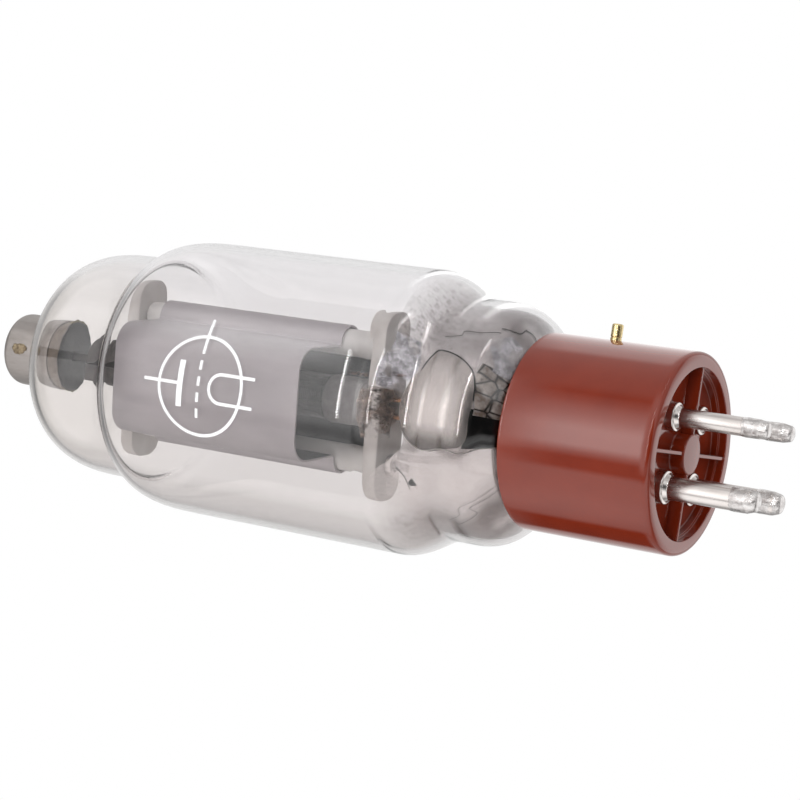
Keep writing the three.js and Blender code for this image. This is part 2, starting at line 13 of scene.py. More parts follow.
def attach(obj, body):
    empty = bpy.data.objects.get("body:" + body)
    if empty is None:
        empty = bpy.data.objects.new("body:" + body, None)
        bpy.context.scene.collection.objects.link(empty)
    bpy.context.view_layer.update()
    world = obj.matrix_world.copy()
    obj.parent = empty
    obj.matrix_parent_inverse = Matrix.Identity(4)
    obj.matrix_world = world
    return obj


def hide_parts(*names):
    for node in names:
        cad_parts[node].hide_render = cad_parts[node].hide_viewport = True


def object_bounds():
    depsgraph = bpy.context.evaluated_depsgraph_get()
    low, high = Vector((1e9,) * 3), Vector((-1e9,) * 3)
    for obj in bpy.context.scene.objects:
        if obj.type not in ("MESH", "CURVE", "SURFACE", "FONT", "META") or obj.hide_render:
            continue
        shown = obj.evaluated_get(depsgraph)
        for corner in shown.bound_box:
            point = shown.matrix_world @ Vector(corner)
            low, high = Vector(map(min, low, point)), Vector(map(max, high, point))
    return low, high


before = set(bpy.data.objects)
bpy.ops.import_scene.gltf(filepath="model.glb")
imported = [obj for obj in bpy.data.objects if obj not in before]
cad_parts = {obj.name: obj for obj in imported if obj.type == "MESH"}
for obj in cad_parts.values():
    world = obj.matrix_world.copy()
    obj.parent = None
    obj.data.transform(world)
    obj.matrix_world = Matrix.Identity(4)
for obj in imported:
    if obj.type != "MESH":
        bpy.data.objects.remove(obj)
cad_low, cad_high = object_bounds()

MM = 0.001
TUBE = "tube"                      # the fixed body that nearly every piece rides on
TURN = math.radians(-8.5)          # the electrodes stand turned from the bayonet pin
SEGMENTS = 128

# ---- camera
CAMERA_AT = (4.403, -329.999, -135.948)
CAMERA_RIGHT = Vector((0.15089, 0.50175, -0.85175))
CAMERA_UP = Vector((0.98852, -0.06997, 0.13390))
LENS = 94.54


def make_camera():
    data = bpy.data.cameras.new("camera")
    data.lens = LENS
    data.sensor_width = 36.0
    data.clip_start = 0.01
    data.clip_end = 20.0
    camera = bpy.data.objects.new("camera", data)
    right = CAMERA_RIGHT.normalized()
    back = right.cross(CAMERA_UP).normalized()
    up = back.cross(right)
    turn = Matrix((right, up, back)).transposed().to_4x4()
    camera.matrix_world = Matrix.Translation(Vector(CAMERA_AT) * MM) @ turn
    bpy.context.collection.objects.link(camera)
    bpy.context.scene.camera = camera


# ---- materials
class Look:
    """A Principled material that is coloured, roughened and bumped by procedural noise."""

    def __init__(self, name, **sockets):
        self.material = bpy.data.materials.new(name)
        self.material.use_nodes = True
        self.tree = self.material.node_tree
        self.shader = self.tree.nodes["Principled BSDF"]
        self.coords = self.node("ShaderNodeTexCoord").outputs["Object"]
        for socket, value in sockets.items():
            self.shader.inputs[socket.replace("_", " ")].default_value = value

    def node(self, kind, **settings):
        made = self.tree.nodes.new(kind)
        for key, value in settings.items():
            setattr(made, key, value)
        return made

    def link(self, source, target):
        self.tree.links.new(source, target)

    def axes(self):
        """Object coordinates taken apart into X, Y and Z."""
        made = self.node("ShaderNodeSeparateXYZ")
        self.link(self.coords, made.inputs["Vector"])
        return made.outputs

    def noise(self, size_mm, detail=3.0, stretch=(1, 1, 1), rough=0.55):
        """Noise with blobs of about this size, longer along an axis where stretch is over 1."""
        mapping = self.node("ShaderNodeMapping")
        for axis in range(3):
            mapping.inputs["Scale"].default_value[axis] = 1.0 / stretch[axis]
        self.link(self.coords, mapping.inputs["Vector"])
        field = self.node("ShaderNodeTexNoise")
        field.inputs["Scale"].default_value = 1.0 / (size_mm * MM)
        field.inputs["Detail"].default_value = detail
        field.inputs["Roughness"].default_value = rough
        self.link(mapping.outputs["Vector"], field.inputs["Vector"])
        return field.outputs["Fac"]

    def cells(self, size_mm, stretch=(1, 1, 1)):
        """Distance from the borders of irregular plates, in plate sizes."""
        scale = self.node("ShaderNodeMapping")
        scale.inputs["Scale"].default_value = [1 / (size_mm * MM * s) for s in stretch]
        self.link(self.coords, scale.inputs["Vector"])
        made = self.node("ShaderNodeTexVoronoi", feature="DISTANCE_TO_EDGE")
        made.inputs["Scale"].default_value = 1.0
        self.link(scale.outputs["Vector"], made.inputs["Vector"])
        return made.outputs["Distance"]

    def span(self, value, low, high, from_low=0.3, from_high=0.7):
        """Value from one range to another, clamped."""
        made = self.node("ShaderNodeMapRange")
        for socket, number in zip(("From Min", "From Max", "To Min", "To Max"),
                                  (from_low, from_high, low, high)):
            made.inputs[socket].default_value = number
        self.link(value, made.inputs["Value"])
        return made.outputs["Result"]

    def blend(self, factor, first, second):
        """Colour between two colours, either of which may be another node's output."""
        made = self.node("ShaderNodeMix", data_type="RGBA")
        self.link(factor, made.inputs["Factor"])
        for socket, value in zip((made.inputs[6], made.inputs[7]), (first, second)):
            if isinstance(value, tuple):
                socket.default_value = (*value, 1.0)
            else:
                self.link(value, socket)
        return made.outputs[2]

    def colour(self, value):
        self.link(value, self.shader.inputs["Base Color"])

    def roughness(self, value, low, high):
        self.link(self.span(value, low, high), self.shader.inputs["Roughness"])

    def alpha(self, value):
        self.link(value, self.shader.inputs["Alpha"])

    def bump(self, height, depth_mm, strength=1.0):
        made = self.node("ShaderNodeBump")
        made.inputs["Distance"].default_value = depth_mm * MM
        made.inputs["Strength"].default_value = strength
        self.link(height, made.inputs["Height"])
        self.link(made.outputs["Normal"], self.shader.inputs["Normal"])


def mottled(name, dark, light, size_mm, rough=(0.3, 0.5), bump_mm=0.0, grain_mm=0.4,
            stretch=(1, 1, 1), **sockets):
    """A surface that drifts between two colours, with a finer grain in its gloss and relief."""
    look = Look(name, **sockets)
    look.colour(look.blend(look.span(look.noise(size_mm, stretch=stretch), 0, 1), dark, light))
    grain = look.noise(grain_mm, detail=5.0, stretch=stretch)
    look.roughness(grain, *rough)
    if bump_mm:
        look.bump(grain, bump_mm)
    return look


def make_materials():
    made = {}
    glass = Look("clear_glass", IOR=1.5, Transmission_Weight=1.0)
    # The glass is tinted darker and warmer, in wisps, towards the side away from the bayonet pin.
    sides = glass.axes()
    wisps = glass.node("ShaderNodeMath", operation="MULTIPLY_ADD", use_clamp=True)
    glass.link(glass.noise(18), wisps.inputs[0])
    wisps.inputs[1].default_value = 0.3
    glass.link(glass.span(sides["X"], 0.85, 0, -26 * MM, 24 * MM), wisps.inputs[2])
    clear = glass.blend(wisps.outputs["Value"], (0.945, 0.935, 0.945), (0.81, 0.78, 0.77))
    # Towards the apex the glass is painted darker and browner: painted shade on the dome.
    dome_shade = glass.span(sides["Z"], 0, 0.55, 121 * MM, 132 * MM)
    glass.colour(glass.blend(dome_shade, clear, (0.80, 0.765, 0.72)))
    glass.roughness(glass.noise(9), 0.0, 0.012)
    made["glass"] = glass
    foot = Look("foot_glass", IOR=1.5, Transmission_Weight=1.0)
    foot.colour(foot.blend(foot.span(foot.noise(6), 0, 1), (0.86, 0.85, 0.84), (0.95, 0.94, 0.93)))
    foot.roughness(foot.noise(4), 0.0, 0.05)
    made["foot"] = foot

    bakelite = mottled("red_brown_resin", (0.165, 0.0165, 0.0045), (0.19, 0.0205, 0.006), 7.0,
                       rough=(0.045, 0.075), grain_mm=0.5, bump_mm=0.002)
    bakelite.shader.inputs["IOR"].default_value = 1.5
    made["bakelite"] = bakelite

    made["nickel"] = mottled("bright_nickel", (0.52, 0.475, 0.45), (0.68, 0.64, 0.62), 2.5,
                             rough=(0.20, 0.30), bump_mm=0.002, grain_mm=0.8, stretch=(1, 1, 5),
                             Metallic=1.0)
    made["plain_nickel"] = mottled("dull_nickel", (0.50, 0.46, 0.44), (0.68, 0.64, 0.62), 1.5,
                                   rough=(0.25, 0.42), bump_mm=0.01, Metallic=1.0)
    made["tin"] = mottled("rough_tin", (0.40, 0.37, 0.36), (0.68, 0.66, 0.65), 0.9,
                          rough=(0.18, 0.45), bump_mm=0.08, grain_mm=0.8, Metallic=1.0)
    made["brass"] = mottled("turned_brass", (0.56, 0.44, 0.22), (0.74, 0.60, 0.34), 0.8,
                            rough=(0.16, 0.34), bump_mm=0.006, grain_mm=0.25, Metallic=1.0)
    made["cap"] = mottled("dull_cap_metal", (0.25, 0.225, 0.21), (0.36, 0.33, 0.315), 3.0,
                          rough=(0.32, 0.5), bump_mm=0.008, grain_mm=0.3, stretch=(1, 1, 4),
                          Metallic=0.85)
    made["cap_solder"] = mottled("brown_flux", (0.08, 0.05, 0.03), (0.34, 0.27, 0.17), 1.1,
                                 rough=(0.25, 0.6), bump_mm=0.1, grain_mm=0.5, Metallic=0.5)
    made["ceramic"] = mottled("matt_ceramic", (0.70, 0.65, 0.62), (0.82, 0.78, 0.75), 4.0,
                              rough=(0.45, 0.65), bump_mm=0.015, grain_mm=0.35)
    made["post"] = mottled("white_ceramic", (0.74, 0.71, 0.69), (0.82, 0.80, 0.78), 3.0,
                           rough=(0.4, 0.6), bump_mm=0.01, grain_mm=0.3)
    made["anode"] = mottled("grey_anode_sheet", (0.47, 0.43, 0.45), (0.56, 0.52, 0.54), 6.0,
                            rough=(0.42, 0.6), bump_mm=0.02, grain_mm=0.25, stretch=(1, 1, 2.5),
                            Metallic=0.35)
    # A darker copy of the anode sheet for its inner faces: painted shade inside the deep box.
    made["anode_inside"] = mottled(
        "anode_inside_painted_shade", (0.045, 0.047, 0.052), (0.085, 0.087, 0.095), 8.0, rough=(0.38, 0.55),
        bump_mm=0.02, grain_mm=0.25, Metallic=0.3)
    made["dark_metal"] = mottled("heat_stained_metal", (0.05, 0.045, 0.045), (0.12, 0.105, 0.10),
                                 1.6, rough=(0.35, 0.6), bump_mm=0.03, grain_mm=0.4, Metallic=0.6)
    made["lead"] = mottled("heat_coloured_lead", (0.10, 0.045, 0.025), (0.36, 0.20, 0.13), 1.2,
                           rough=(0.18, 0.4), bump_mm=0.02, grain_mm=0.5, Metallic=0.9)
    made["wire"] = mottled("drawn_wire", (0.16, 0.155, 0.16), (0.30, 0.29, 0.29), 0.9,
                           rough=(0.25, 0.45), bump_mm=0.006, grain_mm=0.2, Metallic=1.0)
    made["collar"] = mottled("cream_collar", (0.26, 0.24, 0.24), (0.37, 0.345, 0.345), 2.0,
                             rough=(0.4, 0.55), bump_mm=0.01, grain_mm=0.3, Metallic=0.2)
    made["pale_cement"] = mottled("pale_cement", (0.40, 0.33, 0.26), (0.55, 0.48, 0.40), 2.0,
                                  rough=(0.8, 0.95), bump_mm=0.15, grain_mm=0.5)
    made["print"] = mottled("white_print", (0.78, 0.78, 0.79), (0.92, 0.92, 0.93), 0.6,
                            rough=(0.5, 0.7), bump_mm=0.01, grain_mm=0.2)

    # Cement that looks dark where it wets the glass, brown above, with a yellow stain at its rim.
    cement = Look("dark_cement", Specular_IOR_Level=0.08)
    dust = cement.noise(0.9, detail=6.0, rough=0.7)
    grey = cement.blend(cement.span(dust, 0, 1), (0.004, 0.004, 0.005), (0.022, 0.023, 0.026))
    brown = cement.blend(cement.span(dust, 0, 1), (0.17, 0.135, 0.11), (0.30, 0.25, 0.21))
    parts = cement.axes()
    dry = cement.span(parts["Z"], 0, 1, 134.85 * MM, 134.95 * MM)
    flat = cement.node("ShaderNodeCombineXYZ")
    cement.link(parts["X"], flat.inputs["X"])
    cement.link(parts["Y"], flat.inputs["Y"])
    radius = cement.node("ShaderNodeVectorMath", operation="LENGTH")
    cement.link(flat.outputs["Vector"], radius.inputs[0])
    at_rim = cement.span(radius.outputs["Value"], 0, 1, 6.85 * MM, 7.05 * MM)
    mixed = cement.blend(dry, grey, brown)
    cement.colour(cement.blend(at_rim, mixed, (0.24, 0.19, 0.07)))
    cement.roughness(dust, 0.75, 0.95)
    cement.bump(dust, 0.3)
    made["cement"] = cement

    # Bright getter metal, darker towards the bayonet side, fading out up the barrel.
    haze = Look("getter_haze", Metallic=0.9)
    cloud = haze.noise(16, detail=2.0)
    place = haze.axes()
    pale = haze.blend(haze.span(cloud, 0, 1), (0.74, 0.69, 0.68), (0.84, 0.79, 0.78))
    dull = haze.blend(haze.span(cloud, 0, 1), (0.42, 0.375, 0.37), (0.50, 0.455, 0.45))
    haze.colour(haze.blend(haze.span(place["X"], 0, 1, -8 * MM, 14 * MM), pale, dull))
    haze.roughness(cloud, 0.13, 0.20)
    made["haze"] = haze
    fade = haze.span(place["Z"], 1, 0, 43 * MM, 51 * MM)
    scaled = haze.node("ShaderNodeMath", operation="MULTIPLY")
    haze.link(fade, scaled.inputs[0])
    haze.link(haze.span(cloud, 0.72, 0.9), scaled.inputs[1])
    haze.alpha(scaled.outputs["Value"])

    mirror = Look("getter_mirror", Metallic=1.0)
    drift = mirror.noise(9, detail=3.0)
    bright = mirror.blend(mirror.span(drift, 0, 1), (0.58, 0.53, 0.505), (0.70, 0.65, 0.625))
    across = mirror.axes()
    # Towards negative X the mirror is painted dark: a painted reflection of dark surroundings.
    rim = mirror.span(across["X"], 1, 0, -6.5 * MM, -1.5 * MM)
    mirror.colour(mirror.blend(rim, bright, (0.22, 0.19, 0.175)))
    mirror.roughness(drift, 0.20, 0.27)
    made["mirror"] = mirror

    black = Look("getter_black", Metallic=0.2)
    soot = black.noise(2.2, detail=4.0)
    black.colour(black.blend(black.span(soot, 0, 1), (0.004, 0.003, 0.003), (0.016, 0.013, 0.012)))
    black.roughness(soot, 0.08, 0.2)
    made["black"] = black

    flakes = Look("getter_flakes", Metallic=0.15)
    cell = flakes.cells(2.1, stretch=(1, 1, 1.6))
    tone = flakes.noise(1.6, detail=2.0)
    plate = flakes.blend(flakes.span(tone, 0, 1, 0.38, 0.62), (0.42, 0.34, 0.29),
                         (0.95, 0.88, 0.82))
    border = flakes.span(cell, 0, 1, 0.015, 0.11)
    flakes.colour(flakes.blend(border, (0.055, 0.042, 0.035), plate))
    flakes.roughness(tone, 0.08, 0.25)
    flakes.bump(tone, 0.5)
    made["flakes"] = flakes

    foil = Look("getter_foil", Metallic=0.8)
    crease = foil.noise(2.0, detail=5.0, rough=0.65)
    patch = foil.noise(5.0, detail=2.0)
    foil.colour(foil.blend(foil.span(crease, 0, 1, 0.4, 0.6), (0.46, 0.45, 0.48),
                           (0.94, 0.93, 0.98)))
    foil.roughness(crease, 0.08, 0.25)
    foil.alpha(foil.span(patch, 0.15, 0.85, 0.42, 0.5))
    foil.bump(crease, 0.8)
    made["foil"] = foil

    stain = Look("brown_stain", Metallic=0.6)
    blot = stain.noise(3.2, detail=4.0, rough=0.6)
    fleck = stain.noise(1.3, detail=3.0)
    stain.colour(stain.blend(stain.span(fleck, 0, 1), (0.05, 0.032, 0.025), (0.44, 0.335, 0.28)))
    stain.roughness(fleck, 0.12, 0.3)
    stain.alpha(stain.span(blot, 0.0, 0.92, 0.42, 0.56))
    made["stain"] = stain
    return {key: look.material for key, look in made.items()}


# ---- mesh helpers
def bezier(a, b, c, d, steps):
    """Points on a cubic curve after its first."""
    points = []
    for i in range(1, steps + 1):
        t = i / steps
        weights = ((1 - t) ** 3, 3 * t * (1 - t) ** 2, 3 * t * t * (1 - t), t ** 3)
        points.append(tuple(sum(w * p[k] for w, p in zip(weights, (a, b, c, d))) for k in (0, 1)))
    return points


def filleted(corners, steps=5):
    """Open profile of (r, z) or (r, z, fillet radius) corners, with its corners rounded."""
    points = []
    for i, corner in enumerate(corners):
        here = Vector(corner[:2])
        size = corner[2] if len(corner) > 2 else 0.0
        if not size or i in (0, len(corners) - 1):
            points.append(tuple(here))
            continue
        before = Vector(corners[i - 1][:2]) - here
        after = Vector(corners[i + 1][:2]) - here
        half = before.angle(after) / 2
        reach = min(size / math.tan(half), 0.49 * before.length, 0.49 * after.length)
        start = here + before.normalized() * reach
        end = here + after.normalized() * reach
        for k in range(steps + 1):
            t = k / steps
            points.append(tuple(start * (1 - t) ** 2 + here * 2 * t * (1 - t) + end * t * t))
    return points


def revolve(bm, profile, segments, wobble=None):
    """Adds a profile of (r, z) turned about Z. wobble(angle, r, z) gives a changed (r, z)."""
    closed = profile[0] == profile[-1]
    rows = []
    for r, z in profile[:-1] if closed else profile:
        if r < 1e-6:
            rows.append([bm.verts.new((0, 0, z * MM))])
            continue
        row = []
        for i in range(segments):
            angle = 2 * math.pi * i / segments
            radius, height = wobble(angle, r, z) if wobble else (r, z)
            row.append(bm.verts.new((radius * math.cos(angle) * MM, radius * math.sin(angle) * MM,
                                     height * MM)))
        rows.append(row)
    if closed:
        rows.append(rows[0])
    for low, high in zip(rows, rows[1:]):
        for i in range(segments):
            j = (i + 1) % segments
            if len(low) == 1 and len(high) == 1:
                continue
            if len(low) == 1:
                bm.faces.new((low[0], high[i], high[j]))
            elif len(high) == 1:
                bm.faces.new((low[i], low[j], high[0]))
            else:
                bm.faces.new((low[i], low[j], high[j], high[i]))


def piece(name, mesh, look, node=None, slot=None, body=TUBE, sharp=32, matrix=None):
    """Puts a mesh in the scene as a piece that rides on a body and may stand for CAD nodes."""
    if matrix is not None:
        mesh.transform(matrix)
    for material in look if isinstance(look, (list, tuple)) else [look]:
        mesh.materials.append(material)
    mesh.polygons.foreach_set("use_smooth", [True] * len(mesh.polygons))
    mesh.set_sharp_from_angle(angle=math.radians(sharp))
    made = bpy.data.objects.new(name, mesh)
    bpy.context.collection.objects.link(made)
    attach(made, body)
    if node:
        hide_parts(*([node] if isinstance(node, str) else node))
    return made


def to_mesh(name, bm):
    bmesh.ops.recalc_face_normals(bm, faces=bm.faces)
    mesh = bpy.data.meshes.new(name)
    bm.to_mesh(mesh)
    bm.free()
    return mesh


def lathe(name, profile, look, segments=SEGMENTS, wobble=None, **options):
    bm = bmesh.new()
    revolve(bm, profile, segments, wobble)
    return piece(name, to_mesh(name, bm), look, **options)


def from_curve(name, curve):
    """Mesh of a curve data block with its bevel applied."""
    holder = bpy.data.objects.new(name, curve)
    bpy.context.collection.objects.link(holder)
    seen = holder.evaluated_get(bpy.context.evaluated_depsgraph_get())
    mesh = bpy.data.meshes.new_from_object(seen)
    mesh.name = name
    bpy.data.objects.remove(holder)
    bpy.data.curves.remove(curve)
    return mesh


def raised(name, loops, low, high, edge):
    """Mesh of flat outlines, holes after the first, raised from low to high with round edges."""
    curve = bpy.data.curves.new(name, "CURVE")
    curve.dimensions = "2D"
    curve.fill_mode = "BOTH"
    curve.extrude = ((high - low) / 2 - edge) * MM
    curve.bevel_depth = edge * MM
    curve.bevel_resolution = 2
    curve.offset = -edge * MM
    for loop in loops:
        spline = curve.splines.new("POLY")
        spline.points.add(len(loop) - 1)
        for point, (x, y) in zip(spline.points, loop):
            point.co = (x * MM, y * MM, 0, 1)
        spline.use_cyclic_u = True
    mesh = from_curve(name, curve)
    mesh.transform(Matrix.Translation((0, 0, (low + high) / 2 * MM)))
    weld = bmesh.new()
    weld.from_mesh(mesh)
    bmesh.ops.remove_doubles(weld, verts=weld.verts, dist=1e-7)
    bmesh.ops.recalc_face_normals(weld, faces=weld.faces)
    weld.to_mesh(mesh)
    weld.free()
    return mesh


def strand(name, paths, radius, sides=3):
    """Mesh of round wire along paths of points in millimetres."""
    curve = bpy.data.curves.new(name, "CURVE")
    curve.dimensions = "3D"
    curve.bevel_depth = radius * MM
    curve.bevel_resolution = sides
    curve.use_fill_caps = True
    for path in paths:
        spline = curve.splines.new("POLY")
        spline.points.add(len(path) - 1)
        for point, place in zip(spline.points, path):
            point.co = (*(Vector(place) * MM), 1)
    return from_curve(name, curve)


def smooth_path(points, steps=8):
    """Catmull-Rom curve through points."""
    places = [Vector(p) for p in points]
    places = [2 * places[0] - places[1], *places, 2 * places[-1] - places[-2]]
    path = []
    for a, b, c, d in zip(places, places[1:], places[2:], places[3:]):
        for i in range(steps):
            t = i / steps
            path.append(0.5 * (2 * b + (c - a) * t + (2 * a - 5 * b + 4 * c - d) * t * t
                               + (3 * b - a - 3 * c + d) * t ** 3))
    return [*path, places[-2]]


def circle(x, y, radius, count=40):
    return [(x + radius * math.cos(2 * math.pi * i / count),
             y + radius * math.sin(2 * math.pi * i / count)) for i in range(count)]


def bar_outline(half_length, half_width, corner, steps=12):
    """Rounded bar outline, anticlockwise."""
    loop = []
    for quarter, (sx, sy) in enumerate(((1, 1), (-1, 1), (-1, -1), (1, -1))):
        for i in range(steps + 1):
            angle = (quarter + i / steps) * math.pi / 2
            loop.append((sx * (half_length - corner) + corner * math.cos(angle),
                         sy * (half_width - corner) + corner * math.sin(angle)))
    return loop


ELECTRODE = Matrix.Rotation(TURN, 4, "Z")


def at(x, y, z=0.0):
    return Matrix.Translation((x * MM, y * MM, z * MM))


# ---- glass
WALL = 1.1
TAIL_R = 14.0
NECK_R = 21.8
BULB_R = 25.97
BARREL_Z = (51.8, 98.3)
APEX_Z = 134.9


def glass_outline():
    """Outer outline of the bulb from the tail to the seal in the apex."""
    points = [(TAIL_R, 10.3), (TAIL_R, 16.0), (TAIL_R, 22.9)]
    points += bezier((TAIL_R, 22.9), (TAIL_R, 26.4), (16.2, 27.6), (17.6, 29.1), 14)
    points += bezier((17.6, 29.1), (19.6, 31.2), (NECK_R, 32.4), (NECK_R, 37.4), 18)
    points += [(NECK_R, 38.6), (NECK_R, 39.8), (NECK_R, 40.8)]
    points += bezier((NECK_R, 40.8), (NECK_R, 44.7), (BULB_R, 47.7), (BULB_R, BARREL_Z[0]), 22)
    points += [(BULB_R, BARREL_Z[0] + (BARREL_Z[1] - BARREL_Z[0]) * i / 12) for i in range(1, 13)]
    points += bezier((BULB_R, BARREL_Z[1]), (BULB_R, 112.3), (NECK_R, 107.9), (NECK_R, 111.5), 28)
    points += [(NECK_R, 113.8), (NECK_R, 116.2), (NECK_R, 118.5)]
    points += bezier((NECK_R, 118.5), (NECK_R, 130.9), (16.0, APEX_Z), (1.1, APEX_Z), 32)
    return points


def inward(points, depth):
    """The outline moved towards the axis by an even depth."""
    moved = []
    for i, (r, z) in enumerate(points):
        ahead = Vector(points[min(i + 1, len(points) - 1)])
        along = (ahead - Vector(points[max(i - 1, 0)])).normalized()
        moved.append((r - along.y * depth, z + along.x * depth))
    return moved


def inner_radius(z):
    """Radius of the inside of the glass at a height."""
    for (r0, z0), (r1, z1) in zip(INNER, INNER[1:]):
        if z0 <= z <= z1:
            return r0 + (r1 - r0) * (z - z0) / (z1 - z0)
    raise ValueError(z)


OUTER = glass_outline()
INNER = inward(OUTER, WALL)


def make_glass(looks):
    inner = [*INNER[:-1], (1.1, INNER[-1][1])]
    lathe("glass_bulb", [*OUTER, *reversed(inner), OUTER[0]], looks["glass"], segments=192,
          node="glass_envelope", slot="clear_glass", sharp=60)
    foot = filleted([
        (0, 32.0), (6.3, 30.6, 2), (6.3, 15.4, 3), (8.4, 11.2, 2), (12.2, 8.9, 0.4),
        (TAIL_R, 8.9, 0.5), (TAIL_R, 10.0, 0.5), (12.9, 10.0, 0.4), (9.4, 12.2, 2),
        (7.4, 16.2, 3), (7.4, 33.4, 1.5), (5.6, 36.0, 1.5), (0, 36.8)])
    bm = bmesh.new()
    revolve(bm, foot, 96)
    press = raised("press", [bar_outline(9.5, 2.4, 2.3)], 34.0, 44.0, 0.8)
    bm.from_mesh(press)
    piece("glass_foot", to_mesh("glass_foot", bm), looks["foot"], node="glass_stem",
          slot="clear_glass", sharp=50, matrix=ELECTRODE)


def film(name, look, angles, lower, upper, depth=0.05, columns=72, rows=14):
    """A skin on the inside of the glass between two edges, given as z of the angle."""
    start, end = (math.radians(a) for a in angles)
    full = angles[1] - angles[0] >= 360
    bm = bmesh.new()
    grid = []
    for i in range(columns if full else columns + 1):
        angle = start + (end - start) * i / columns
        low, high = lower(angle), upper(angle)
        line = []
        for k in range(rows + 1):
            z = low + (high - low) * k / rows
            radius = inner_radius(z) - depth
            line.append(bm.verts.new((radius * math.cos(angle) * MM, radius * math.sin(angle) * MM,
                                      z * MM)))
        grid.append(line)
    pairs = list(zip(grid, grid[1:] + ([grid[0]] if full else [])))
    for first, second in pairs:
        for k in range(rows):
            bm.faces.new((first[k], second[k], second[k + 1], first[k + 1]))
    # The faces have no normals yet, so this adds a second layer in the same place and a rim of no
    # width. With bm.normal_update() before it, the film would be 0.02 mm thick.
    bmesh.ops.solidify(bm, geom=bm.faces[:], thickness=0.02 * MM)
    return piece(name, to_mesh(name, bm), look, slot="nickel", sharp=60)


def edge_line(name, look, knots, radius):
    """A fine line on the inside of the glass through (degrees, z) knots."""
    path = []
    for degrees, z in smooth_path([Vector(knot) for knot in knots]):
        r = inner_radius(z) - 0.04
        path.append((r * math.cos(math.radians(degrees)), r * math.sin(math.radians(degrees)), z))
    piece(name, strand(name, [path], radius, 2), look, slot="nickel")


def waves(base, *terms):
    """z of the angle as a base height plus (size, count, phase) waves."""
    return lambda angle: base + sum(a * math.sin(n * angle + p) for a, n, p in terms)


def through(knots):
    """z of the angle as a smooth line through (degrees, z) knots with rising degrees."""
    line = smooth_path([Vector(knot) for knot in knots])

    def height(angle):
        degrees = min(max(math.degrees(angle), knots[0][0]), knots[-1][0])
        for first, second in zip(line, line[1:]):
            if degrees <= second.x:
                return first.lerp(second, (degrees - first.x) / (second.x - first.x)).y
        return line[-1].y

    return height


def make_getter(looks):
    rim = [(-180, 50.5), (-125, 50.0), (-112, 46.0), (-104, 44.0), (-88, 44.8), (-72, 44.3),
           (-64, 46.5), (-50, 49.5), (0, 51.0), (90, 51.0), (180, 50.5)]
    film("getter_haze_film", looks["haze"], (-180, 180), waves(25.4), through(rim),
         depth=0.22, columns=200, rows=26)
    top = [(-107, 40.6), (-104, 42.8), (-99, 44.2), (-88, 45.0), (-78, 44.4), (-68, 42.8),
           (-62, 42.0), (-58, 40.8)]
    bottom = [(-107, 38.8), (-104.5, 35.5), (-103, 33.6), (-98, 32.8), (-88, 32.8), (-80, 32.6),
              (-72, 33.0), (-65, 34.2), (-60, 37.2), (-58, 40.4)]
    film("getter_mirror_film", looks["mirror"], (-107, -58), through(bottom), through(top),
         depth=0.06, columns=96, rows=24)
    edge_line("getter_mirror_edge", looks["black"],
              [(-70, 43.0), (-62, 42.0), (-58.2, 40.8), (-60, 37.2), (-65, 34.2), (-72, 33.0),
               (-80, 32.6)], 0.12)
    # A pale line along the mirror's edge stands for its highlight: a painted highlight.
    edge_line("getter_painted_highlight_line", looks["plain_nickel"],
              [(-99, 44.2), (-104, 42.8), (-107, 40.4), (-105, 36.5), (-106.5, 33.5), (-104, 31.0),
               (-104, 27.5)], 0.08)
    film("getter_dark_film", looks["black"], (-104, -84), waves(26.8), waves(33.6, (0.3, 9, 1.2)),
         depth=0.1, columns=40)
    film("getter_flake_film", looks["flakes"], (-87, -60), waves(26.8), waves(32.8, (0.5, 10, 0.6)),
         depth=0.08, columns=40)
    film("getter_foil_film", looks["foil"], (-82, -57), waves(44.2, (0.7, 12, 0.2)),
         waves(49.0, (0.6, 14, 1.0)), depth=0.06, columns=40)
    film("getter_crumple_film", looks["foil"], (-62, -36), waves(26.8), waves(32.4, (0.9, 14, 0.5)),
         depth=0.06, columns=40)
    film("getter_stain_film", looks["stain"], (-103, -82), waves(45.6, (0.4, 10, 0.4)),
         waves(51.0, (0.7, 12, 1.6)), depth=0.06, columns=40)
    edge_line("getter_upper_line", looks["dark_metal"],
              [(-50, 41.4), (-48, 38.6), (-45, 38.4), (-44, 35.5), (-39, 33.0)], 0.06)
    edge_line("getter_crumple_line", looks["dark_metal"],
              [(-36, 33.3), (-30, 31.2), (-24, 31.0), (-22, 29.8), (-27, 28.6), (-34, 27.4)], 0.09)
    edge_line("getter_hair_line", looks["dark_metal"],
              [(-148, 35.9), (-142, 32.6), (-137, 33.2), (-134, 30.4), (-131, 28.7)], 0.035)
    edge_line("getter_hair_line_2", looks["dark_metal"],
              [(-145, 37.4), (-141, 35.2), (-136, 34.8), (-132, 31.4), (-128, 29.2)], 0.025)
    film("getter_fleck", looks["dark_metal"], (-126, -122.5), waves(42.3, (0.3, 50, 2.0)),
         waves(43.2, (0.3, 60, 0.0)), depth=0.06, columns=12, rows=4)
    edge_line("getter_fleck_line", looks["dark_metal"],
              [(-116, 45.2), (-121, 44.0), (-128, 43.4)], 0.05)
    profile = filleted([(3.1, 0), (4.7, 0, 0.2), (4.7, 1.1, 0.1), (4.4, 1.1, 0.1), (4.4, 0.35, 0.1),
                        (3.4, 0.35, 0.1), (3.4, 1.1, 0.1), (3.1, 1.1, 0.1), (3.1, 0)], 3)
    lathe("getter_channel", profile, looks["plain_nickel"], segments=64, node="getter_ring",
          slot="nickel", matrix=ELECTRODE @ at(0, 9.8, 47.5))


# ---- top cap
CAP_R = 7.19
CEMENT_OVAL = 0.7                  # width of the cement along Y over its width along X


